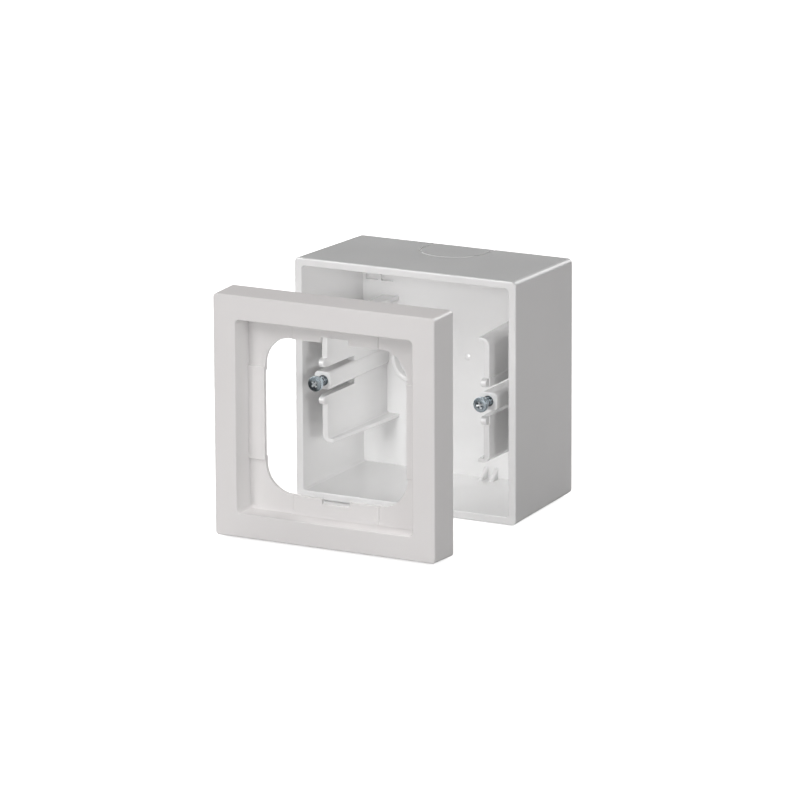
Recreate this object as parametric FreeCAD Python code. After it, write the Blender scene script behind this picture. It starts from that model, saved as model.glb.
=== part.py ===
import FreeCAD, Part
import math
import os

# A surface mount box for a wall device: a moulded housing, its cover frame taken off and held
# straight in front of it, and the two screws that wait in the posts.
# Millimetres. X to the right, Z up, the wall is the plane y = 0 and the front looks along -Y.
# The origin is the middle of the face that lies on the wall.

# Housing shell
box_front = 80.0            # side of the square rim
box_depth = 42.2
box_draft = 0.9             # how much each outer face slopes in towards the rear
box_corner = 1.6            # radius of the four long outer edges
rim_round = 0.5             # rounding of the rim's outer edge
rim_inner_round = 0.3
rear_round = 0.6            # rounding of the rear face's edge
wall_at_rim = 2.6
wall_at_rear = 2.4
back_wall = 2.0
inner_corner = 1.0
sink = 0.6                  # how far inner features run into the wall that carries them

# Channels that carry the screw posts
screw_pitch = 60.0          # distance between the two device screws
web_set_in = 1.6            # screw axis to the inner face of a channel's web, at the front
web_thickness = 2.0
web_draft = 0.5             # how much each web face swells towards the back wall
channel_height = 41.0
channel_round = 2.5         # outer rounding where web and flange meet
channel_fillet = 0.8        # inner rounding there
edge_round = 0.35           # rounding of the channels' free edges
flange = 1.3                # thickness of the top and bottom flanges
flange_reach_front = 2.0    # how far a flange stands in from the web at the front
flange_reach_back = 4.6
channel_set_back = 0.4      # front edge of the channels behind the rim

# Screw posts, each a tongue of its channel between two slits
post_inner = 2.8            # screw axis to the inner side of the post
post_outer = 3.2
post_height = 5.9
post_round = 1.4
slit_gap = 1.8
slit_depth = 18.0
nib_radius = 1.4            # rounded nibs on the web's front edge, outside the slits
nib_reach = 2.4
rib_rise = 0.35             # ribs that carry the nibs' width along the web's outer face

# Wall fixing, in the back wall
fixing_set_in = 12.5        # screw axis to the fixing hole beside it
fixing_hole = 2.25          # radius
collar_inner = 6.0
collar_wall = 1.6
collar_height = 3.0
collar_round = 0.5
gate_radius = 1.1           # small dome left where the moulding was filled
gate_height = 0.25
gate_x = 2.0
gate_z = 2.6

# Cable knock-outs in the top and bottom walls
knockout_radius = 11.0
knockout_reach = 18.7       # from the rear face to the round front of the scored line
score_width = 0.7
score_depth = 0.5
panel_half_width = 14.0     # thinned rectangle inside the wall
panel_reach = 12.0
panel_depth = 0.5
gusset_places = (8.7, 12.4)
gusset_width = 1.4
gusset_reach = 4.0
gusset_height = 3.4
gusset_round = 0.5

# Shallow pockets in the upper corners of the back wall
pocket_width = 4.6
pocket_rib = 1.0
pocket_floor = 25.0         # height of their lower edge above the middle
pocket_depth = 1.3

# Cover frame
frame_reveal = 0.35         # the frame's rear edge lies this much inside the rim
frame_draft = 0.3           # how much each outer face slopes in towards the front
frame_depth = 12.2
frame_corner = 1.2
frame_edge_round = 0.6
frame_rear_round = 0.3
frame_skin = 1.8            # outer walls
bezel_thickness = 2.0
opening_front = 63.0
opening_draft = 0.2         # how much each wall of the opening slopes in towards the ledge
opening_corner = 1.4
opening_round = 0.4
recess_wall = 1.4
ledge_depth = 8.4           # front of the frame to the ledge in its corners
ledge_thickness = 1.3
ledge_width = 5.9           # wall of the opening to the window's edge
cove_radius = 1.2           # hollow rounding between the ledge and the upper and lower walls
pad_rise = 0.65             # the middle of each side stands this much nearer the front
pad_length = 30.6
pad_round = 0.3
window_corner = 9.5
notch_width = 10.0
notch_depth = 1.7
frame_offset = 41.9         # gap between the rim and the back of the frame, as taken off

# Device screws
shank_radius = 1.75
shank_length = 18.0
shank_tip = 1.2             # length of the conical point
point_radius = 0.6
head_radius = 2.65
head_edge = 0.8             # straight part of the head's side
head_dome = 0.8             # height of the domed front
head_stand_off = 4.4        # gap between the post and the head, as photographed
recess_span = 3.0
recess_slot = 0.75
recess_depth = 1.2
pilot_clearance = 0.05
pilot_extra = 3.5           # free depth of the pilot hole past the screw's end when driven home

rim_y = -box_depth
inner_back_y = -back_wall
channel_y = rim_y + channel_set_back
box_rear = box_front - 2 * box_draft
inner_front = box_front - 2 * wall_at_rim
inner_rear = box_rear - 2 * wall_at_rear
half_post = post_height / 2
half_slit = half_post + slit_gap
frame_rear = box_front - 2 * frame_reveal
frame_front = frame_rear - 2 * frame_draft
opening_rear = opening_front - 2 * opening_draft
window = opening_rear - 2 * ledge_width
fixing_x = screw_pitch / 2 - fixing_set_in
same_size = 0.05            # outlines closer than this count as the same


def vec(x, y, z):
    return FreeCAD.Vector(x, y, z)


def block(x0, x1, y0, y1, z0, z1):
    return Part.makeBox(x1 - x0, y1 - y0, z1 - z0, vec(x0, y0, z0))


def round_bar(x, z, radius, y0, y1):
    return Part.makeCylinder(radius, y1 - y0, vec(x, y0, z), vec(0, 1, 0))


def rounded_path(corners, y):
    """A closed outline at the depth y through right-angled corners (x, z, radius)."""
    bends = []
    for k, (x, z, radius) in enumerate(corners):
        here = vec(x, y, z)
        back = vec(corners[k - 1][0], y, corners[k - 1][1]) - here
        ahead = vec(corners[(k + 1) % len(corners)][0], y, corners[(k + 1) % len(corners)][1]) - here
        back.normalize()
        ahead.normalize()
        inset = radius * (1 - math.sqrt(0.5))
        bends.append((here + back * radius, here + (back + ahead) * inset, here + ahead * radius))
    edges = []
    for k, bend in enumerate(bends):
        edges.append(Part.Arc(*bend).toShape())
        edges.append(Part.makeLine(bend[2], bends[(k + 1) % len(bends)][0]))
    return Part.Wire(edges)


def rounded_outline(x0, x1, z0, z1, radius, y):
    return rounded_path([(x0, z0, radius), (x1, z0, radius), (x1, z1, radius), (x0, z1, radius)], y)


def square_outline(side, radius, y):
    half = side / 2
    return rounded_outline(-half, half, -half, half, radius, y)


def square_taper(front_side, rear_side, radius, y0, y1):
    """A square bar with round long edges that runs from y0 to y1."""
    wires = [square_outline(front_side, radius, y0), square_outline(rear_side, radius, y1)]
    return Part.makeLoft(wires, True, True)


def prism(wire, depth):
    return Part.Face(wire).extrude(vec(0, depth, 0))


def both_sides(shape):
    """The shape and its mirror image on the other side of the middle plane."""
    return [shape, shape.mirror(vec(0, 0, 0), vec(1, 0, 0))]


def edges_at(shape, y):
    """Edges that lie in the plane at depth y."""
    found = []
    for edge in shape.Edges:
        b = edge.BoundBox
        if abs(b.YMin - y) < same_size and abs(b.YMax - y) < same_size:
            found.append(edge)
    return found


def outline_edges(shape, y, side):
    """Edges of the square outline with the given side in the plane at depth y."""
    found = []
    for edge in edges_at(shape, y):
        b = edge.BoundBox
        reach = max(abs(b.XMin), abs(b.XMax), abs(b.ZMin), abs(b.ZMax))
        if abs(reach - side / 2) < same_size:
            found.append(edge)
    return found


def channel_outline(y, swell, reach):
    """Outline of the right channel at the depth y: a web with two flanges that stand inwards."""
    inner = screw_pitch / 2 - web_set_in - swell
    outer = screw_pitch / 2 - web_set_in + web_thickness + swell
    tip = inner - reach
    top = channel_height / 2
    under = top - flange
    upper = [(inner, under, channel_fillet), (tip, under, edge_round), (tip, top, edge_round),
             (outer, top, channel_round)]
    lower = [(x, -z, radius) for x, z, radius in reversed(upper)]
    return rounded_path(upper + lower, y)


def make_nib(x, z):
    """A round-nosed nib on the front edge of the web, between x and the web's other face."""
    nose_y = channel_y - nib_reach + nib_radius
    root_y = channel_y + sink
    low, high = z - nib_radius, z + nib_radius
    nose = Part.Arc(vec(x, nose_y, low), vec(x, nose_y - nib_radius, z), vec(x, nose_y, high))
    edges = [nose.toShape()]
    rest = [(nose_y, high), (root_y, high), (root_y, low), (nose_y, low)]
    for (ya, za), (yb, zb) in zip(rest, rest[1:]):
        edges.append(Part.makeLine(vec(x, ya, za), vec(x, yb, zb)))
    nib = Part.Face(Part.Wire(edges)).extrude(vec(web_thickness, 0, 0))
    sides = [edge for edge in nib.Edges if edge.BoundBox.XLength < same_size]
    return nib.makeFillet(edge_round, sides)


def make_channel():
    """The right channel with its slits, screw post, nibs and pilot hole."""
    root_y = inner_back_y + sink
    axis_x = screw_pitch / 2
    body = Part.makeLoft([channel_outline(channel_y, 0.0, flange_reach_front),
                          channel_outline(root_y, web_draft, flange_reach_back)], True, True)
    body = body.makeFillet(edge_round, edges_at(body, channel_y))
    web_inner = axis_x - web_set_in
    web_outer = web_inner + web_thickness
    reach = web_draft + sink
    body = body.cut(block(web_inner - reach, web_outer + reach, channel_y - sink, channel_y + slit_depth,
                          -half_slit, half_slit))
    post = prism(rounded_outline(axis_x - post_inner, axis_x + post_outer, -half_post, half_post,
                                 post_round, channel_y), root_y - channel_y)
    post = post.makeFillet(edge_round, edges_at(post, channel_y))
    body = body.fuse(post)
    for side in (-1, 1):
        z = side * (half_slit + nib_radius)
        rib = block(web_outer - sink, web_outer + rib_rise, channel_y, root_y, z - nib_radius, z + nib_radius)
        body = body.fuse([make_nib(web_inner, z), rib])
    pilot_end = channel_y + shank_length + pilot_extra
    return body.cut(round_bar(axis_x, 0, shank_radius + pilot_clearance, channel_y - sink, pilot_end))


def knockout_score():
    """The scored line of the top knock-out, lying along the sloping outer face."""
    centre_y = -knockout_reach + knockout_radius
    tools = []
    for radius in (knockout_radius + score_width / 2, knockout_radius - score_width / 2):
        nose = Part.makeCylinder(radius, 2 * score_depth, vec(0, centre_y, -score_depth))
        legs = block(-radius, radius, centre_y, sink, -score_depth, score_depth)
        tools.append(nose.fuse(legs))
    band = tools[0].cut(tools[1])
    band.rotate(vec(0, 0, 0), vec(1, 0, 0), -math.degrees(math.atan(box_draft / box_depth)))
    band.translate(vec(0, 0, box_rear / 2))
    return band


def inner_half(y):
    """Half the inside width of the housing at the depth y."""
    share = (y - rim_y) / (inner_back_y - rim_y)
    return (inner_front + (inner_rear - inner_front) * share) / 2


def knockout_panel():
    """The thinned rectangle inside the top wall, behind the scored line."""
    y0 = inner_back_y - panel_reach
    front, back = inner_half(y0), inner_half(inner_back_y)
    w = panel_half_width
    section = Part.makePolygon([vec(-w, y0, front - sink), vec(-w, inner_back_y, back - sink),
                                vec(-w, inner_back_y, back + panel_depth), vec(-w, y0, front + panel_depth),
                                vec(-w, y0, front - sink)])
    return Part.Face(section).extrude(vec(2 * w, 0, 0))


def gusset(x):
    """A small triangular web between the bottom wall and the back wall."""
    floor = -inner_half(inner_back_y)
    y0 = inner_back_y - gusset_reach
    deep = panel_depth + sink
    section = Part.makePolygon([vec(x, y0, floor), vec(x, inner_back_y, floor + gusset_height),
                                vec(x, inner_back_y + sink, floor + gusset_height),
                                vec(x, inner_back_y + sink, floor - deep), vec(x, y0, floor - deep),
                                vec(x, y0, floor)])
    web = Part.Face(section).extrude(vec(gusset_width, 0, 0)).translated(vec(-gusset_width / 2, 0, 0))
    slope = vec(0, gusset_reach, gusset_height).Length
    return web.makeFillet(gusset_round, [edge for edge in web.Edges if abs(edge.Length - slope) < same_size])


def gate_dome():
    """The low dome on the back wall, a cap of a ball that ends inside the wall."""
    ball = (gate_radius ** 2 + gate_height ** 2) / (2 * gate_height)
    dome = Part.makeSphere(ball, vec(gate_x, inner_back_y - gate_height + ball, gate_z))
    keep = round_bar(gate_x, gate_z, gate_radius, inner_back_y - gate_height, inner_back_y + sink)
    return dome.common(keep)


def make_box():
    shell = square_taper(box_front, box_rear, box_corner, rim_y, 0)
    shell = shell.makeFillet(rim_round, outline_edges(shell, rim_y, box_front))
    shell = shell.makeFillet(rear_round, outline_edges(shell, 0, box_rear))
    cavity = square_taper(inner_front, inner_rear, inner_corner, rim_y, inner_back_y)
    body = shell.cut(cavity)
    body = body.makeFillet(rim_inner_round, outline_edges(body, rim_y, inner_front))

    for score in (knockout_score(), knockout_panel()):
        body = body.cut(score)
        body = body.cut(score.mirror(vec(0, 0, 0), vec(0, 0, 1)))

    pocket_left = inner_half(inner_back_y) - inner_corner
    for k in range(2):
        right = pocket_left - k * (pocket_width + pocket_rib)
        pocket = block(right - pocket_width, right, inner_back_y - sink, inner_back_y + pocket_depth,
                       pocket_floor, inner_half(inner_back_y) - inner_corner)
        for tool in both_sides(pocket):
            body = body.cut(tool)

    added = both_sides(make_channel())
    collar_y = inner_back_y - collar_height
    collar = round_bar(fixing_x, 0, collar_inner + collar_wall, collar_y, inner_back_y + sink)
    collar = collar.cut(round_bar(fixing_x, 0, collar_inner, collar_y, inner_back_y))
    collar = collar.makeFillet(collar_round, edges_at(collar, collar_y))
    added += both_sides(collar)
    for place in gusset_places:
        added += both_sides(gusset(place))
    added.append(gate_dome())
    body = body.fuse(added)
    for tool in both_sides(round_bar(fixing_x, 0, fixing_hole, collar_y, sink)):
        body = body.cut(tool)
    return body.removeSplitter()


def ledge_cove(half_length, y):
    """A hollow rounding along the lower wall of the opening, where it meets a face at the depth y."""
    wall_z = -opening_rear / 2
    centre_y, centre_z = y - cove_radius, wall_z + cove_radius
    diagonal = cove_radius * math.sqrt(0.5)
    start_z = wall_z - opening_draft * cove_radius / ledge_depth
    x = -half_length
    hollow = Part.Arc(vec(x, centre_y, start_z), vec(x, centre_y + diagonal, centre_z - diagonal),
                      vec(x, y, centre_z))
    rest = [(y, centre_z), (y + sink, centre_z), (y + sink, wall_z - sink), (centre_y, wall_z - sink),
            (centre_y, start_z)]
    edges = [hollow.toShape()]
    for (ya, za), (yb, zb) in zip(rest, rest[1:]):
        edges.append(Part.makeLine(vec(x, ya, za), vec(x, yb, zb)))
    return Part.Face(Part.Wire(edges)).extrude(vec(2 * half_length, 0, 0))


def make_frame():
    """The cover frame: a hollow bezel with a stepped ledge around its window."""
    back_y = rim_y - frame_offset
    front_y = back_y - frame_depth
    ledge_y = front_y + ledge_depth
    outer = square_taper(frame_front, frame_rear, frame_corner, front_y, back_y)
    outer = outer.makeFillet(frame_edge_round, outline_edges(outer, front_y, frame_front))
    outer = outer.makeFillet(frame_rear_round, outline_edges(outer, back_y, frame_rear))

    ledge_back = ledge_y + ledge_thickness
    hollow = square_taper(frame_front - 2 * frame_skin, frame_rear - 2 * frame_skin, frame_corner,
                          front_y + bezel_thickness, back_y)
    tube = square_taper(opening_front + 2 * recess_wall, opening_rear + 2 * recess_wall,
                        opening_corner + recess_wall, front_y + bezel_thickness, ledge_back)
    body = outer.cut(hollow.cut(tube))
    body = body.cut(square_taper(opening_front, opening_rear, opening_corner, front_y, ledge_y))
    body = body.makeFillet(opening_round, outline_edges(body, front_y, opening_front))

    raised = []
    half = opening_rear / 2 + recess_wall / 2
    beyond = opening_rear / 2 + recess_wall + sink
    half_pad = pad_length / 2
    for turn in range(4):
        step = block(-half_pad, half_pad, ledge_y - pad_rise, ledge_y + sink, window / 2 - sink, half)
        step = step.makeFillet(pad_round, edges_at(step, ledge_y - pad_rise))
        relief = block(-half_pad + ledge_thickness, half_pad - ledge_thickness, ledge_back - pad_rise,
                       back_y, window / 2 - sink, beyond)
        for shape in (step, relief):
            shape.rotate(vec(0, 0, 0), vec(0, 1, 0), 90 * turn)
        raised.append((step, relief))
    body = body.fuse([step for step, relief in raised])
    for half_length, y in ((opening_rear / 2 + sink, ledge_y), (half_pad, ledge_y - pad_rise)):
        cove = ledge_cove(half_length, y)
        body = body.fuse([cove, cove.mirror(vec(0, 0, 0), vec(0, 0, 1))])
    for step, relief in raised:
        body = body.cut(relief)

    body = body.cut(prism(square_outline(window, window_corner, front_y), back_y - front_y))
    half_notch = notch_width / 2
    tall = window / 2 + notch_depth
    body = body.cut(block(-half_notch, half_notch, front_y, back_y, -tall, tall))
    return body.removeSplitter()


def make_screw(x):
    """A domed head with a cross recess on a plain shank; the shank's point is a cone."""
    under_y = channel_y - head_stand_off
    edge_y = under_y - head_edge
    top_y = edge_y - head_dome
    tip_y = under_y + shank_length
    ball = (head_radius ** 2 + head_dome ** 2) / (2 * head_dome)
    half_turn = math.asin(head_radius / ball) / 2
    middle = vec(ball * math.sin(half_turn), top_y + ball * (1 - math.cos(half_turn)), 0)
    edges = [Part.Arc(vec(0, top_y, 0), middle, vec(head_radius, edge_y, 0)).toShape()]
    rest = [(head_radius, edge_y), (head_radius, under_y), (shank_radius, under_y),
            (shank_radius, tip_y - shank_tip), (point_radius, tip_y), (0, tip_y), (0, top_y)]
    for (ra, ya), (rb, yb) in zip(rest, rest[1:]):
        edges.append(Part.makeLine(vec(ra, ya, 0), vec(rb, yb, 0)))
    body = Part.Face(Part.Wire(edges)).revolve(vec(0, 0, 0), vec(0, 1, 0), 360)
    half, thin = recess_span / 2, recess_slot / 2
    cross = block(-half, half, top_y, top_y + recess_depth, -thin, thin)
    cross = cross.fuse(block(-thin, thin, top_y, top_y + recess_depth, -half, half))
    cross.rotate(vec(0, 0, 0), vec(0, 1, 0), 45)
    return body.cut(cross).translated(vec(x, 0, 0))


os.makedirs("parts", exist_ok=True)
pieces = {
    "rear_box": make_box(),
    "front_frame": make_frame(),
    "device_screw_left": make_screw(-screw_pitch / 2),
    "device_screw_right": make_screw(screw_pitch / 2),
}
for name, shape in pieces.items():
    shape.exportStep("parts/" + name + ".step")
    print(name, "solids", len(shape.Solids), "valid", shape.isValid(), "volume", round(shape.Volume, 1))
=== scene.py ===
# %% [markdown]
# # A surface mount box
#
# The object is a square white wall box for a switch or an outlet. Its housing and its cover frame are two plastic
# mouldings, and two zinc-plated screws wait in the housing's posts. The construction is already settled to the tenth
# of a millimetre, so this lesson only finishes it: it sets up the camera, the light and the floor, writes the
# plastics and the zinc, and models the two screws anew, with a thread and a proper cross recess.

# %% Load the frame
import math

import bpy
from mathutils import Matrix, Vector


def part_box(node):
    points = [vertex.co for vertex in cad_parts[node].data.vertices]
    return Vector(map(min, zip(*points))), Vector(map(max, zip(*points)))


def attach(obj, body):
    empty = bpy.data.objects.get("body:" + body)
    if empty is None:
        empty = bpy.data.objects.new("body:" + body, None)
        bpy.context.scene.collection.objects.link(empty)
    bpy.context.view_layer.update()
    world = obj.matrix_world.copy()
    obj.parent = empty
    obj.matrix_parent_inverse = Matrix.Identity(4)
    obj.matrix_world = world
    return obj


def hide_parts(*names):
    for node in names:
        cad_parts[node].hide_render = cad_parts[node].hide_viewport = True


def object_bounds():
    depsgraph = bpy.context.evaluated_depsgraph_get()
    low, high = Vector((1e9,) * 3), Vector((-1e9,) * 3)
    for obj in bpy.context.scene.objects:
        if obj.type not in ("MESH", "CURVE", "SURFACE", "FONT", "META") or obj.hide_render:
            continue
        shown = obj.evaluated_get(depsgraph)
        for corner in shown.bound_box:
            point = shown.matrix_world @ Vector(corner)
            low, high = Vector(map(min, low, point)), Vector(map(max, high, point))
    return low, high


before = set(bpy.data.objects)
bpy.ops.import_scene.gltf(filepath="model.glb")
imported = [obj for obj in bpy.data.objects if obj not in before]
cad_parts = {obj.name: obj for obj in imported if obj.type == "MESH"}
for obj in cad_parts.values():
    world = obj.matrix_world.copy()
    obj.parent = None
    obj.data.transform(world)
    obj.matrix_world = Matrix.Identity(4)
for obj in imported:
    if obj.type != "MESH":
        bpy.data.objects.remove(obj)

cad_box = [list(corner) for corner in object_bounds()]
print("nodes", sorted(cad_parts), "box", [[round(v, 4) for v in corner] for corner in cad_box])

# %% [markdown]
# ## Camera
#
# A product photograph of a small box is taken from far away with a long lens, so that its edges stay nearly parallel.
# The angles below were found by laying the straight edges of the box over the picture: the camera stands to the right
# of the box, a little above it, and hardly leans. One could aim a camera with a Track To constraint, but a matrix
# built from three directions also takes the small lean, and leaves nothing live in the scene.

# %% Camera at the photograph's angle
picture_side = 800            # pixels
focal_pixels = 6232.0         # distance of the picture plane, in pixels
sensor_width = 36.0           # millimetres
camera_distance = 2.0         # metres, as all lengths below
camera_reach = 50.0           # farther than the table's far edge
camera_yaw = math.radians(28.16)
camera_pitch = math.radians(14.10)
camera_roll = math.radians(0.26)
rim_y = -0.0422
camera_aim = Vector((-0.00162, rim_y, -0.00316))

forward = Vector((-math.sin(camera_yaw) * math.cos(camera_pitch),
                  math.cos(camera_yaw) * math.cos(camera_pitch), -math.sin(camera_pitch)))
level_right = Vector((math.cos(camera_yaw), math.sin(camera_yaw), 0))
level_down = forward.cross(level_right)
right = level_right * math.cos(camera_roll) + level_down * math.sin(camera_roll)
down = level_down * math.cos(camera_roll) - level_right * math.sin(camera_roll)

bpy.ops.object.select_all(action="DESELECT")
bpy.ops.object.camera_add()
camera = bpy.context.object
camera.name = "long_lens"
camera.data.sensor_width = sensor_width
camera.data.lens = focal_pixels / picture_side * sensor_width
camera.data.clip_end = camera_reach
turn = Matrix((right, -down, -forward)).transposed()
camera.matrix_world = Matrix.Translation(camera_aim - forward * camera_distance) @ turn.to_4x4()
bpy.context.scene.camera = camera
camera_place = [round(v, 3) for v in camera.matrix_world.translation]
print("camera at", camera_place, "lens", round(camera.data.lens, 1), "mm")

# %% [markdown]
# ## Floor
#
# The box stands on a white table that runs out of the picture on all sides. A plane is enough for that. A white
# sweep on a catalogue page is brighter than the object on it, because it has its own lights, so the floor shines a
# little where the camera looks at it directly. The Light Path node keeps that glow from lighting the object. In
# front of the housing, where the table would lie in the shade of both mouldings, the glow is lowered in an ellipse:
# a painted shadow on the table. The screws are bright metal and would mirror all that white, so the floor isn't seen
# in reflections.

# %% White floor
floor_reach = 8.0
floor_gap = 0.0003            # the table lies this far under the box
floor_cuts = 6
bpy.ops.mesh.primitive_plane_add(size=2 * floor_reach, location=(0, 0, cad_box[0][2] - floor_gap))
floor = bpy.context.object
floor.name = "white_table"
bpy.ops.object.mode_set(mode="EDIT")
bpy.ops.mesh.subdivide(number_cuts=floor_cuts)
bpy.ops.object.mode_set(mode="OBJECT")
bpy.ops.object.transform_apply(location=True, rotation=False, scale=False)
floor.visible_glossy = False
print("floor at z", round(cad_box[0][2] - floor_gap, 4))

# %% Table white, with a glow that a painted shadow lowers
floor_glow = 0.80
# The glow is lowered in an ellipse between the two mouldings: a painted shadow, made by a mask and not by a lamp.
painted_shadow_middle = (-0.020, -0.048, 0)
painted_shadow_reach = (0.034, 0.014, 1.0)     # half-axes of an ellipse on the table
painted_shadow_left = 0.30                     # share of the glow that is left in the shade
painted_shadow_core, painted_shadow_edge = 0.6, 1.2     # shares of the reach between which the glow comes back
table_white = bpy.data.materials.new("table_white")
table_white.use_nodes = True
table_nodes = table_white.node_tree.nodes
table_links = table_white.node_tree.links
table_shader = table_nodes["Principled BSDF"]
table_shader.inputs["Base Color"].default_value = (0.80, 0.80, 0.80, 1)
table_shader.inputs["Roughness"].default_value = 0.85
table_shader.inputs["Specular IOR Level"].default_value = 0.1
table_shader.inputs["Emission Color"].default_value = (1, 1, 1, 1)
light_path = table_nodes.new("ShaderNodeLightPath")
glow = table_nodes.new("ShaderNodeMath")
glow.operation = "MULTIPLY"
table_place = table_nodes.new("ShaderNodeTexCoord")
from_middle = table_nodes.new("ShaderNodeVectorMath")
from_middle.operation = "SUBTRACT"
from_middle.inputs[1].default_value = painted_shadow_middle
in_reach = table_nodes.new("ShaderNodeVectorMath")
in_reach.operation = "DIVIDE"
in_reach.inputs[1].default_value = painted_shadow_reach
far = table_nodes.new("ShaderNodeVectorMath")
far.operation = "LENGTH"
fade = table_nodes.new("ShaderNodeMapRange")
fade.interpolation_type = "SMOOTHSTEP"
fade.inputs["From Min"].default_value = painted_shadow_core
fade.inputs["From Max"].default_value = painted_shadow_edge
fade.inputs["To Min"].default_value = floor_glow * painted_shadow_left
fade.inputs["To Max"].default_value = floor_glow
for given, taken in ((light_path.outputs["Is Camera Ray"], glow.inputs[0]),
                     (table_place.outputs["Object"], from_middle.inputs[0]),
                     (from_middle.outputs["Vector"], in_reach.inputs[0]),
                     (in_reach.outputs["Vector"], far.inputs[0]),
                     (far.outputs["Value"], fade.inputs["Value"]),
                     (fade.outputs["Result"], glow.inputs[1]),
                     (glow.outputs[0], table_shader.inputs["Emission Strength"])):
    table_links.new(given, taken)
floor.data.materials.append(table_white)
print("material", table_white.name, "with", len(table_nodes), "nodes")

# %% [markdown]
# ## Finishes that more than one material shares
#
# A moulding takes its skin from the steel it was pressed against: a very fine grain, with broad clouds where the
# plastic cooled faster or slower. Both plastics use that skin with their own values, so it is one node group. It
# hands out a colour factor, a roughness and a height, and the shader itself stays in each material.

# %% Helpers for node trees
noise_low, noise_high = 0.15, 0.85    # nearly all of a noise lies between these
mix_a, mix_b, mix_out = 6, 7, 2       # colour sockets of a Mix node; its factor is input 0


def new_group(name, inputs, outputs):
    """A shader node group with float inputs (name, value) and float outputs, and its two end nodes."""
    group = bpy.data.node_groups.new(name, "ShaderNodeTree")
    for label, value in inputs:
        socket = group.interface.new_socket(label, in_out="INPUT", socket_type="NodeSocketFloat")
        socket.default_value = value
    for label in outputs:
        group.interface.new_socket(label, in_out="OUTPUT", socket_type="NodeSocketFloat")
    return group, group.nodes.new("NodeGroupInput"), group.nodes.new("NodeGroupOutput")


def object_noise(tree, scale, detail, scale_socket=None):
    """A noise texture in the piece's own coordinates; its scale may come from a group's input."""
    place = tree.nodes.new("ShaderNodeTexCoord")
    noise = tree.nodes.new("ShaderNodeTexNoise")
    noise.inputs["Scale"].default_value = scale
    noise.inputs["Detail"].default_value = detail
    tree.links.new(place.outputs["Object"], noise.inputs["Vector"])
    if scale_socket is not None:
        tree.links.new(scale_socket, noise.inputs["Scale"])
    return noise.outputs["Fac"]


def spread(tree, value, low, high):
    """Spreads a noise value over low to high; each of these is a number or a socket."""
    node = tree.nodes.new("ShaderNodeMapRange")
    node.inputs["From Min"].default_value = noise_low
    node.inputs["From Max"].default_value = noise_high
    tree.links.new(value, node.inputs["Value"])
    for label, end in (("To Min", low), ("To Max", high)):
        if isinstance(end, (int, float)):
            node.inputs[label].default_value = end
        else:
            tree.links.new(end, node.inputs[label])
    return node.outputs["Result"]


print("noise between", noise_low, "and", noise_high, "is spread over a finish")

# %% Node group for moulded skin
grain_scale = 6000.0          # waves per metre
cloud_scale = 35.0
skin_group, skin_in, skin_out = new_group(
    "moulded_skin",
    [("Grain Scale", grain_scale), ("Cloud Scale", cloud_scale), ("Darkest", 0.97),
     ("Smoothest", 0.14), ("Roughest", 0.24)],
    ["Tone", "Roughness", "Height"])
grain = object_noise(skin_group, grain_scale, 2.0, skin_in.outputs["Grain Scale"])
clouds = object_noise(skin_group, cloud_scale, 1.0, skin_in.outputs["Cloud Scale"])
skin_group.links.new(spread(skin_group, clouds, skin_in.outputs["Darkest"], 1.0), skin_out.inputs["Tone"])
skin_group.links.new(
    spread(skin_group, clouds, skin_in.outputs["Smoothest"], skin_in.outputs["Roughest"]),
    skin_out.inputs["Roughness"])
skin_group.links.new(grain, skin_out.inputs["Height"])
print("group", skin_group.name, "with", len(skin_group.nodes), "nodes")

# %% [markdown]
# ## The two plastics
#
# Both mouldings are white and satin. The frame is what people see on the wall, so its mould is polished finer, and
# its white is a touch warmer in the picture. The Tone output of the group darkens the white a little in broad
# clouds, and its Height goes through a Bump node, so close up the surface isn't a perfect mirror.

# %% White plastics
plastic_ior = 1.52
grain_strength = 0.5
housing_grain = 0.00001       # depth of the grain
frame_grain = 0.000006


def plastic(name, white, skin, bump_depth):
    """A white plastic: the group's tone on a base white, its roughness and its grain as bump."""
    material = bpy.data.materials.new(name)
    material.use_nodes = True
    tree = material.node_tree
    shader = tree.nodes["Principled BSDF"]
    shader.inputs["IOR"].default_value = plastic_ior
    skin_node = tree.nodes.new("ShaderNodeGroup")
    skin_node.node_tree = skin_group
    for label, value in skin.items():
        skin_node.inputs[label].default_value = value
    tint = tree.nodes.new("ShaderNodeMix")
    tint.data_type = "RGBA"
    tint.inputs[mix_a].default_value = (0, 0, 0, 1)
    tint.inputs[mix_b].default_value = white
    bump = tree.nodes.new("ShaderNodeBump")
    bump.inputs["Distance"].default_value = bump_depth
    bump.inputs["Strength"].default_value = grain_strength
    tree.links.new(skin_node.outputs["Tone"], tint.inputs[0])
    tree.links.new(tint.outputs[mix_out], shader.inputs["Base Color"])
    tree.links.new(skin_node.outputs["Roughness"], shader.inputs["Roughness"])
    tree.links.new(skin_node.outputs["Height"], bump.inputs["Height"])
    tree.links.new(bump.outputs["Normal"], shader.inputs["Normal"])
    return material


housing_plastic = plastic("housing_plastic_finish", (0.930, 0.928, 0.926, 1),
                          {"Grain Scale": 5000, "Darkest": 0.970, "Smoothest": 0.14, "Roughest": 0.24},
                          housing_grain)
frame_plastic = plastic("frame_plastic_finish", (0.930, 0.925, 0.920, 1),
                        {"Grain Scale": 7000, "Darkest": 0.975, "Smoothest": 0.14, "Roughest": 0.22},
                        frame_grain)
for node, finish in (("rear_box", housing_plastic), ("front_frame", frame_plastic)):
    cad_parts[node].material_slots[0].material = finish
    print(node, "wears", finish.name)

# %% [markdown]
# ## Zinc
#
# The screws are steel with a thin bright zinc coat. It is a metal, bluish, with a faint rainbow from the rinse that
# follows the plating, and it is a little rougher in patches. A noise drives the hue between a blue and a straw grey,
# and a finer one the roughness. In the cross recess the zinc is painted lighter and duller: a painted highlight that
# stands for the light its facets catch, so that is a second material with the same nodes.

# %% Bright zinc, and a lighter zinc with a painted highlight
patch_scale = 450.0           # waves per metre
fine_scale = 2500.0
coat_depth = 0.000004
coat_strength = 0.4


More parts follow.
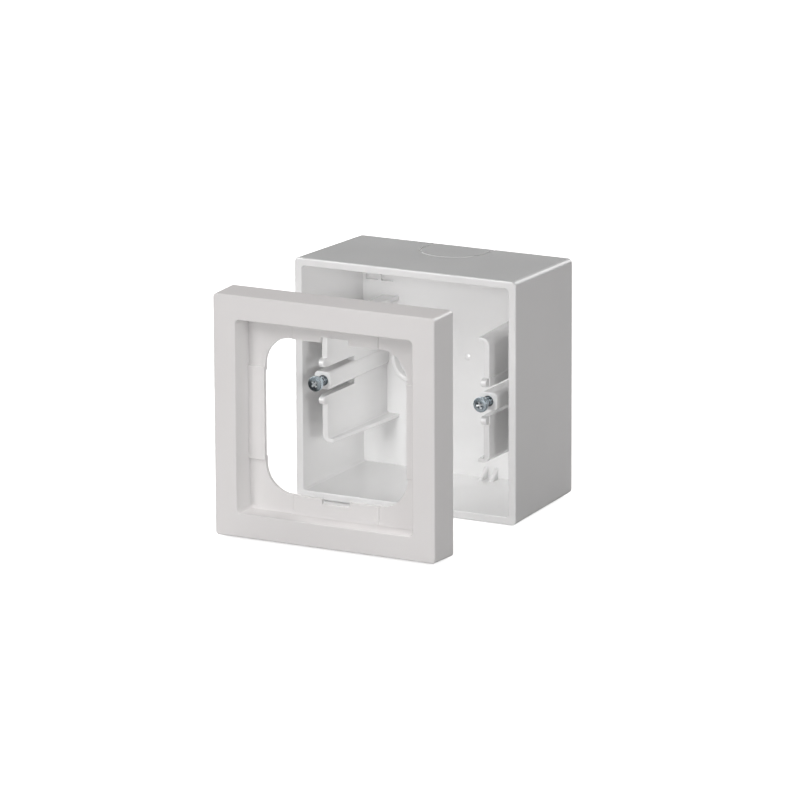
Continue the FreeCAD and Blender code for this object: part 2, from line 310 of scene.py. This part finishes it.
def zinc_coat(name, blue, straw, smoothest, roughest):
    """A zinc coat that drifts between two hues, with a fine varying roughness."""
    material = bpy.data.materials.new(name)
    material.use_nodes = True
    tree = material.node_tree
    shader = tree.nodes["Principled BSDF"]
    shader.inputs["Metallic"].default_value = 1.0
    hue = tree.nodes.new("ShaderNodeMix")
    hue.data_type = "RGBA"
    hue.inputs[mix_a].default_value = blue
    hue.inputs[mix_b].default_value = straw
    patches = object_noise(tree, patch_scale, 3.0)
    tree.links.new(spread(tree, patches, 0.0, 1.0), hue.inputs[0])
    tree.links.new(hue.outputs[mix_out], shader.inputs["Base Color"])
    fine = object_noise(tree, fine_scale, 4.0)
    tree.links.new(spread(tree, fine, smoothest, roughest), shader.inputs["Roughness"])
    bump = tree.nodes.new("ShaderNodeBump")
    bump.inputs["Distance"].default_value = coat_depth
    bump.inputs["Strength"].default_value = coat_strength
    tree.links.new(fine, bump.inputs["Height"])
    tree.links.new(bump.outputs["Normal"], shader.inputs["Normal"])
    print("material", material.name)
    return material


zinc = zinc_coat("zinc_finish", (0.52, 0.66, 0.74, 1), (0.72, 0.76, 0.80, 1), 0.16, 0.26)
# The lighter, duller zinc of the cross recess is a painted highlight for the light its facets catch.
zinc_painted_highlight = zinc_coat("zinc_painted_highlight_finish", (0.84, 0.87, 0.90, 1), (0.93, 0.93, 0.92, 1), 0.38, 0.55)

# %% [markdown]
# ## The screws
#
# Each screw has a low head with a cross recess, a short plain neck, a coarse thread and a blunt point. A lathe makes
# head and neck: one point is extruded along half of the outline, and Spin turns that line about the axis. The thread
# comes from the Screw modifier, which carries one notch of the thread round and along the axis. Both ends are cut
# square with Bisect, and the point is extruded from the cut.

# %% Sizes of a screw
head_radius = 0.00248
head_height = 0.0016
head_dome = 0.00030           # rise of the face
head_shoulder = 0.00025       # rounding between the face and the side
head_lip = 0.00012            # small rounding under the head
neck_radius = 0.00130         # plain neck between the head and the thread
neck_length = 0.0026
neck_chamfer = 0.0002
thread_crest = 0.00140
thread_root = 0.00108
thread_pitch = 0.0014
point_length = 0.0012
point_radius = 0.0006
ring_steps = 64               # faces round the head
thread_steps = 40             # faces round the thread
same_place = 1e-7             # points closer than that are one point
thread_seam = 1e-6            # the same for points of neighbouring turns
low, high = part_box("device_screw_left")
axis_x = (low.x + high.x) / 2
front_y = low.y
tip_y = high.y
under_y = front_y + head_height
print("screw axis at x", round(axis_x, 4), "from y", round(front_y, 4), "to", round(tip_y, 4))

# %% Helpers for modelling by hand
def begin_mesh():
    """Leaves nothing selected, so that the next operator acts on its own piece alone."""
    if bpy.context.object and bpy.context.object.mode != "OBJECT":
        bpy.ops.object.mode_set(mode="OBJECT")
    bpy.ops.object.select_all(action="DESELECT")


def trace(points):
    """One point, extruded from place to place: a plane is merged to a point, then drawn out."""
    begin_mesh()
    bpy.ops.mesh.primitive_plane_add(size=0.001, location=(0, 0, 0), enter_editmode=True)
    bpy.ops.mesh.select_all(action="SELECT")
    bpy.ops.mesh.merge(type="CENTER")
    here = Vector(points[0])
    bpy.ops.transform.translate(value=here)
    for point in points[1:]:
        step = Vector(point) - here
        bpy.ops.mesh.extrude_region_move(TRANSFORM_OT_translate={"value": step})
        here = Vector(point)
    return bpy.context.object


def tidy_normals(merge_distance=same_place):
    """Merges doubles and turns all faces outwards, then leaves edit mode."""
    bpy.ops.mesh.select_all(action="SELECT")
    bpy.ops.mesh.remove_doubles(threshold=merge_distance)
    bpy.ops.mesh.normals_make_consistent(inside=False)
    bpy.ops.object.mode_set(mode="OBJECT")


def pick(piece):
    """Selects one piece alone and makes it the active one."""
    begin_mesh()
    piece.select_set(True)
    bpy.context.view_layer.objects.active = piece


def apply_modifier(piece, name):
    """Turns a modifier of the piece into plain mesh."""
    pick(piece)
    bpy.ops.object.modifier_apply(modifier=name)


print("points within", same_place, "m are merged")

# %% Head and neck, turned on a lathe
face_radius = head_radius - head_shoulder
ball = (face_radius ** 2 + head_dome ** 2) / (2 * head_dome)
dome_turn = math.asin(face_radius / ball)
arc_steps = 8
profile = []
for k in range(arc_steps + 1):
    a = dome_turn * k / arc_steps
    profile.append((ball * math.sin(a), front_y + ball * (1 - math.cos(a))))
shoulder_y = front_y + head_dome
for k in range(1, arc_steps + 1):
    a = math.pi / 2 * k / arc_steps
    profile.append((face_radius + head_shoulder * math.sin(a), shoulder_y + head_shoulder * (1 - math.cos(a))))
neck_y = under_y + neck_length
profile += [(head_radius, under_y - head_lip), (head_radius - head_lip, under_y),
            (neck_radius + neck_chamfer, under_y), (neck_radius, under_y + neck_chamfer),
            (neck_radius, neck_y - neck_chamfer), (neck_radius - neck_chamfer, neck_y), (0, neck_y)]
head = trace([(axis_x + r, y, 0) for r, y in profile])
bpy.ops.mesh.select_all(action="SELECT")
bpy.ops.mesh.spin(steps=ring_steps, angle=2 * math.pi, center=(axis_x, 0, 0), axis=(0, 1, 0))
tidy_normals()
head.name = "screw_head"
print("head", len(head.data.polygons), "faces")

# %% Thread, one notch carried round the axis
turns = math.ceil((tip_y - neck_y) / thread_pitch) + 2
lead_in = 1.5                 # turns before the neck's end, cut off later
crest_share = 0.08            # half of the crest's width, as a share of the pitch
root_from, root_to = 0.40, 0.60       # where the root begins and ends, as shares of the pitch
notch_start = neck_y - lead_in * thread_pitch
crest_half = crest_share * thread_pitch
notch = [(thread_crest, -crest_half), (thread_crest, crest_half), (thread_root, root_from * thread_pitch),
         (thread_root, root_to * thread_pitch), (thread_crest, thread_pitch - crest_half)]
rod = trace([(r, notch_start + y, 0) for r, y in notch])
bpy.ops.object.mode_set(mode="OBJECT")
screw = rod.modifiers.new("thread", "SCREW")
screw.axis = "Y"
screw.screw_offset = thread_pitch
screw.iterations = turns
screw.steps = screw.render_steps = thread_steps
screw.use_merge_vertices = True
screw.merge_threshold = thread_seam
apply_modifier(rod, "thread")
bpy.ops.object.mode_set(mode="EDIT")
tidy_normals()
print("thread", turns, "turns,", len(rod.data.polygons), "faces")

# %% Square ends and a blunt point
sink = 0.00053                        # the thread starts inside the neck, clear of its chamfer
rod_turn = math.radians(0.56)         # keeps the edges of thread and neck from meeting exactly
bpy.ops.object.mode_set(mode="EDIT")
for cut_y, outward in ((neck_y - sink, -1), (tip_y - point_length, 1)):
    bpy.ops.mesh.select_all(action="SELECT")
    bpy.ops.mesh.bisect(plane_co=(0, cut_y, 0), plane_no=(0, outward, 0), use_fill=True, clear_outer=True,
                        threshold=same_place)
bpy.ops.mesh.extrude_region_move(TRANSFORM_OT_translate={"value": (0, point_length, 0)})
shrink = point_radius / thread_crest
bpy.ops.transform.resize(value=(shrink, 1, shrink), center_override=(0, tip_y, 0))
tidy_normals()
rod.location.x = axis_x
rod.rotation_euler.y = rod_turn
pick(rod)
bpy.ops.object.transform_apply(location=True, rotation=True, scale=False)
rod_reach = [vertex.co.y for vertex in rod.data.vertices]
print("rod from", round(min(rod_reach), 5), "to", round(max(rod_reach), 5))

# %% [markdown]
# The cross recess is cut with a Boolean. Its cutter is a cube with an arm drawn out of each side, and its inner end
# is scaled down, because a driver's tip is tapered. With the material mode Transfer, the faces that it cuts keep the
# cutter's own material, the lighter zinc whose colour is a painted highlight.

# %% Cross recess
recess_span = 0.0032
recess_slot = 0.00085
recess_depth = 0.0008
recess_taper = 0.35                   # size of the inner end, as a share of the mouth
recess_turn = math.radians(46.4)      # a little past 45, so that its corners miss the edges of the head
above = 0.0004                        # how far the cutter stands out of the head
cutter_size = (recess_slot, recess_depth + above, recess_slot)
begin_mesh()
bpy.ops.mesh.primitive_cube_add(size=1, location=(0, 0, 0), scale=cutter_size)
cutter = bpy.context.object
bpy.ops.object.transform_apply(location=True, rotation=True, scale=True)
bpy.ops.object.mode_set(mode="EDIT")
bpy.ops.mesh.select_mode(type="FACE")
arm = (recess_span - recess_slot) / 2
for side in (Vector((1, 0, 0)), Vector((-1, 0, 0)), Vector((0, 0, 1)), Vector((0, 0, -1))):
    bpy.ops.mesh.select_all(action="DESELECT")
    bpy.ops.object.mode_set(mode="OBJECT")
    root = side * recess_slot / 2
    min(cutter.data.polygons, key=lambda face: (face.center - root).length).select = True
    bpy.ops.object.mode_set(mode="EDIT")
    bpy.ops.mesh.extrude_region_move(TRANSFORM_OT_translate={"value": side * arm})
bpy.ops.mesh.select_mode(type="VERT")
bpy.ops.mesh.select_all(action="DESELECT")
bpy.ops.object.mode_set(mode="OBJECT")
for vertex in cutter.data.vertices:
    vertex.select = vertex.co.y > 0
bpy.ops.object.mode_set(mode="EDIT")
bpy.ops.transform.resize(value=(recess_taper, 1, recess_taper), center_override=(0, 0, 0))
bpy.ops.object.mode_set(mode="OBJECT")
cutter.rotation_euler.y = recess_turn
cutter.location = (axis_x, front_y + (recess_depth - above) / 2, 0)
bpy.ops.object.transform_apply(location=True, rotation=True, scale=True)
cutter.data.materials.append(zinc_painted_highlight)
print("cutter", len(cutter.data.polygons), "faces")

# %% One screw from head, thread and recess
sliver = 2e-6                         # shorter edges left by the Booleans are closed up
smooth_angle = math.radians(35)       # sharper edges stay sharp
for plated in (head, rod):
    plated.data.materials.append(zinc)
for tool, operation in ((rod, "UNION"), (cutter, "DIFFERENCE")):
    join = head.modifiers.new(operation, "BOOLEAN")
    join.material_mode = "TRANSFER"
    join.object = tool
    join.operation = operation
    join.solver = "EXACT"
    apply_modifier(head, operation)
    bpy.data.objects.remove(tool)
bpy.ops.object.mode_set(mode="EDIT")
bpy.ops.mesh.select_all(action="SELECT")
bpy.ops.mesh.dissolve_degenerate(threshold=sliver)
tidy_normals(sliver)
bpy.ops.object.shade_smooth_by_angle(angle=smooth_angle)
print("screw", len(head.data.polygons), "faces, finishes", [slot.name for slot in head.material_slots])

# %% Both screws in their posts
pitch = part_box("device_screw_right")[0].x - low.x
right_twist = math.radians(25)        # the right recess is turned further
screws = []
for side, shift in (("left", 0.0), ("right", pitch)):
    screw_piece = head if side == "left" else head.copy()
    if side == "right":
        screw_piece.data = head.data.copy()
        twist = Matrix.Rotation(right_twist, 4, "Y")
        to_axis = Matrix.Translation((-axis_x, 0, 0))
        screw_piece.data.transform(Matrix.Translation((axis_x + shift, 0, 0)) @ twist @ to_axis)
        bpy.context.scene.collection.objects.link(screw_piece)
    screw_piece.name = "zinc_screw_" + side
    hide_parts("device_screw_" + side)
    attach(screw_piece, "screw_" + side)
    screws.append(screw_piece)
    print(screw_piece.name, "stands for", "device_screw_" + side)

# %% [markdown]
# ## Light
#
# White plastic is drawn by its shades of grey alone. In the picture the bottom of the housing is brighter than the
# frame in front of it, and the frame throws no shadow into it, so each moulding has its own softboxes. Light linking
# does that in one scene: a light can name the pieces that it lights and the pieces that block it. The housing's
# softboxes stand all round and pass the frame by. A small panel in its mouth fills the inside, and two narrow spots
# reach the far corners at the left. The frame's softboxes light the table as well, so both mouldings keep their
# soft shadow there. A third set shows only as a shine on rounded edges and on the screws, because diffuse light is
# switched off in its visibility. Two strong softboxes behind do the opposite and are left out of reflections.

# %% Lists of pieces for the lights
def piece_group(name, pieces):
    """A collection outside the scene that only lists pieces for the lights."""
    group = bpy.data.collections.new(name)
    for piece in pieces:
        group.objects.link(piece)
    return group


housing_pieces = [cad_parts["rear_box"]] + screws
housing_lit = piece_group("housing_lit", housing_pieces)
housing_blocking = piece_group("housing_blocking", housing_pieces + [floor])
box_lit = piece_group("box_lit", housing_pieces[:1])
screws_lit = piece_group("screws_lit", screws)
frame_lit = piece_group("frame_lit", [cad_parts["front_frame"], floor])
mouldings_lit = piece_group("mouldings_lit", housing_pieces + [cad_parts["front_frame"]])

# %% Helpers for lights
softbox_distance = 1.4


def direction(azimuth, elevation):
    """A unit vector; azimuth 0 looks to the front, 90 to the right."""
    level = math.cos(math.radians(elevation))
    return Vector((math.sin(math.radians(azimuth)) * level, -math.cos(math.radians(azimuth)) * level,
                   math.sin(math.radians(elevation))))


def softbox(name, azimuth, elevation, power, aim, side, lit, blocking=None):
    """A square area light that stands off from the aim in a direction and faces it."""
    towards = direction(azimuth, elevation)
    bpy.ops.object.light_add(type="AREA", location=Vector(aim) + towards * softbox_distance)
    light = bpy.context.object
    light.name = name
    light.data.shape = "SQUARE"
    light.data.size = side
    light.data.energy = power
    light.rotation_euler = towards.to_track_quat("Z", "Y").to_euler()
    light.light_linking.receiver_collection = lit
    light.light_linking.blocker_collection = blocking
    return light


print("softboxes stand", softbox_distance, "m away")

# %% Softboxes
housing_middle = (0, -0.025, 0)
frame_middle = (0, -0.090, 0)
plain = (1.0, 1.0, 1.0)
warm = (1.0, 0.962, 0.958)    # a touch of warmth on the faces that look up and to the front
without_shine = ("housing_behind", "frame_rear_left")
softboxes = []
for name, azimuth, elevation, side, power in (
        ("housing_front", 0, 15, 0.25, 4.8), ("housing_front_high", 0, 42, 0.5, 3.2),
        ("housing_front_left", -50, 25, 0.3, 0.8), ("housing_right", 62, 5, 0.3, 3.75),
        ("housing_left", -90, 20, 0.5, 3.0), ("housing_behind", 180, 45, 0.5, 9.2)):
    softboxes.append(softbox(name, azimuth, elevation, power, housing_middle, side, housing_lit,
                             housing_blocking))
for name, azimuth, elevation, side, power, tint in (
        ("frame_above", 28, 62, 0.5, 4.4, warm), ("frame_left", -15, 35, 0.5, 4.6, warm),
        ("frame_low", -10, 8, 0.5, 2.0, plain), ("frame_right", 60, 20, 0.5, 3.2, plain),
        ("frame_rear_left", -120, 35, 0.5, 9.8, warm), ("frame_rear_right", 145, 28, 0.3, 2.0, plain)):
    light = softbox(name, azimuth, elevation, power, frame_middle, side, frame_lit)
    light.data.color = tint
    softboxes.append(light)
for name, azimuth, elevation, side, power, lit in (
        ("shine_front", -30, 15, 1.6, 65.0, box_lit), ("shine_behind", 160, 28, 0.8, 6.0, mouldings_lit),
        ("shine_screws_left", -60, 50, 0.5, 6.0, screws_lit),
        ("shine_screws_right", 95, 20, 0.5, 4.0, screws_lit),
        ("shine_screws_face", -28, 3, 1.4, 1.6, screws_lit)):
    light = softbox(name, azimuth, elevation, power, housing_middle, side, lit, housing_blocking)
    light.visible_diffuse = False
    softboxes.append(light)
for light in softboxes:
    if light.name in without_shine:
        light.visible_glossy = False  # or the top faces would mirror it as a white sheet
print("softboxes", [(light.name, light.data.energy) for light in softboxes])

# %% A panel in the housing's mouth
mouth_width = 0.048
mouth_height = 0.068
mouth_set_back = 0.001
mouth_power = 0.0018
bpy.ops.object.light_add(type="AREA", location=(0, rim_y + mouth_set_back, 0), rotation=(math.pi / 2, 0, 0))
mouth = bpy.context.object
mouth.name = "housing_mouth"
mouth.data.shape = "RECTANGLE"
mouth.data.size = mouth_width
mouth.data.size_y = mouth_height
mouth.data.energy = mouth_power
mouth.visible_camera = False
mouth.visible_glossy = False
mouth.light_linking.receiver_collection = housing_lit
mouth.light_linking.blocker_collection = housing_blocking
print("panel", mouth_width, "by", mouth_height, "m at y", round(mouth.location.y, 4))

# %% Two spots for the far corners
spot_distance = 1.0
spot_cone = math.radians(2.1)
spot_source = 0.02            # a wide source gives the pool of light a soft edge
towards = direction(12, 2)    # from the front, a little to the right
for name, corner, power in (("corner_low", (-0.030, -0.003, -0.027), 10.0),
                            ("corner_high", (-0.027, -0.003, 0.026), 5.0)):
    bpy.ops.object.light_add(type="SPOT", location=Vector(corner) + towards * spot_distance)
    spot = bpy.context.object
    spot.name = name
    spot.data.energy = power
    spot.data.spot_size = spot_cone
    spot.data.spot_blend = 1.0
    spot.data.shadow_soft_size = spot_source
    spot.rotation_euler = towards.to_track_quat("Z", "Y").to_euler()
    spot.visible_glossy = False
    spot.light_linking.receiver_collection = box_lit
    spot.light_linking.blocker_collection = housing_blocking
    print(name, "lights the corner at", corner)

# %% A bright room for the camera only
room_light = 0.05
room_seen = 1.0
room = bpy.data.worlds.new("bright_room")
bpy.context.scene.world = room
room.use_nodes = True
background = room.node_tree.nodes["Background"]
background.inputs["Color"].default_value = (1, 1, 1, 1)
room_path = room.node_tree.nodes.new("ShaderNodeLightPath")
room_level = room.node_tree.nodes.new("ShaderNodeMapRange")
room_level.inputs["To Min"].default_value = room_light
room_level.inputs["To Max"].default_value = room_seen
room.node_tree.links.new(room_path.outputs["Is Camera Ray"], room_level.inputs["Value"])
room.node_tree.links.new(room_level.outputs["Result"], background.inputs["Strength"])
bpy.context.scene.view_settings.view_transform = "Standard"
print("room", room_light, "seen as", room_seen)
